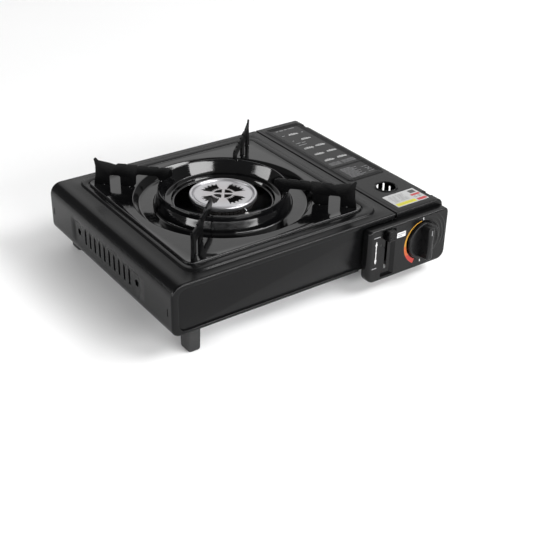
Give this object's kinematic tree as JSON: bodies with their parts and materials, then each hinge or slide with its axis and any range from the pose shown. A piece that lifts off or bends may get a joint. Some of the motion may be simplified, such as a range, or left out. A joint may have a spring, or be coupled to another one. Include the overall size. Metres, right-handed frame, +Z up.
{
  "type": "portable camping stove",
  "caption": "Flat portable gas stove with a round burner, removable drip pan with pot supports, side bay with hinged lid for a canister, and a front control box with knob and lever.",
  "frame": {"origin": "centre of the overall footprint, on the surface the feet stand on", "axes": "+Z up, +X towards the canister bay (right, seen from the front), +Y from the control panel to the back"},
  "size_m": [0.343, 0.2916, 0.116],
  "materials": {
    "case_paint": "satin black paint on pressed steel",
    "enamel": "glossy black enamel",
    "black_plastic": "fine-grained matte black",
    "plated_steel": "satin bright plating",
    "steel": "zinc-plated",
    "cast_iron": "cast, dark",
    "brass": "turned",
    "insulator": "white glazed ceramic",
    "rubber": "matte black",
    "lead": "dark red silicone sleeve"
  },
  "bodies": {
    "chassis": {"top_case": "case_paint", "front_panel": "case_paint", "rear_panel": "case_paint", "base_plate": "steel", "heat_partition": "steel", "canister_tray": "case_paint", "right_side_wall": "case_paint", "bay_rear_wall": "case_paint", "front_bulkhead": "steel", "foot_front_left": "rubber", "foot_rear_left": "rubber", "foot_front_right": "rubber", "foot_rear_right": "rubber", "base_screw_1": "steel", "base_screw_2": "steel", "base_screw_3": "steel", "base_screw_4": "steel", "rear_screw_1": "steel", "rear_screw_2": "steel", "burner_head": "cast_iron", "burner_cap": "plated_steel", "mixing_tube": "steel", "air_shutter": "steel", "burner_bracket": "steel", "bracket_screw_1": "steel", "bracket_screw_2": "steel", "electrode_insulator": "insulator", "electrode_pin": "steel", "ignition_lead": "lead", "heat_plate": "steel", "regulator_body": "cast_iron", "regulator_cover": "steel", "inlet_nozzle": "brass", "gas_jet": "brass", "piezo_igniter": "black_plastic", "control_box": "black_plastic", "detent_spring": "steel"},
    "lid": {"canister_lid": "case_paint", "lid_hinge_pin_front": "steel", "lid_hinge_pin_rear": "steel"},
    "knob": {"control_knob": "black_plastic", "valve_spindle": "steel"},
    "lever": {"lock_lever": "black_plastic"},
    "rod": {"push_rod": "steel"},
    "pan": {"drip_pan": "enamel", "pot_support_rear_right": "enamel", "pot_support_rear_left": "enamel", "pot_support_front_left": "enamel", "pot_support_front_right": "enamel"}
  },
  "joints": [
    {"name": "lid_hinge", "type": "hinge", "parent": "chassis", "child": "lid", "pos_m": [0.168, 0, 0.077], "axis": [0, 1, 0], "range_deg": [0, 105]},
    {"name": "knob_turn", "type": "hinge", "parent": "chassis", "child": "knob", "pos_m": [0.1355, -0.131, 0.047], "axis": [0, -1, 0], "range_deg": [0, 180]},
    {"name": "lever_slide", "type": "slide", "parent": "chassis", "child": "lever", "axis": [0, 0, -1], "range_m": [0, 0.035]},
    {"name": "rod_slide", "type": "slide", "parent": "chassis", "child": "rod", "axis": [0, -1, 0], "range_m": [0, 0.007]},
    {"name": "pan_lift", "type": "slide", "parent": "chassis", "child": "pan", "axis": [0, 0, 1], "range_m": [0, 0.06]}
  ],
  "couplings": [
    {"joint": "rod_slide", "follows": "lever_slide", "ratio": 0.2}
  ]
}
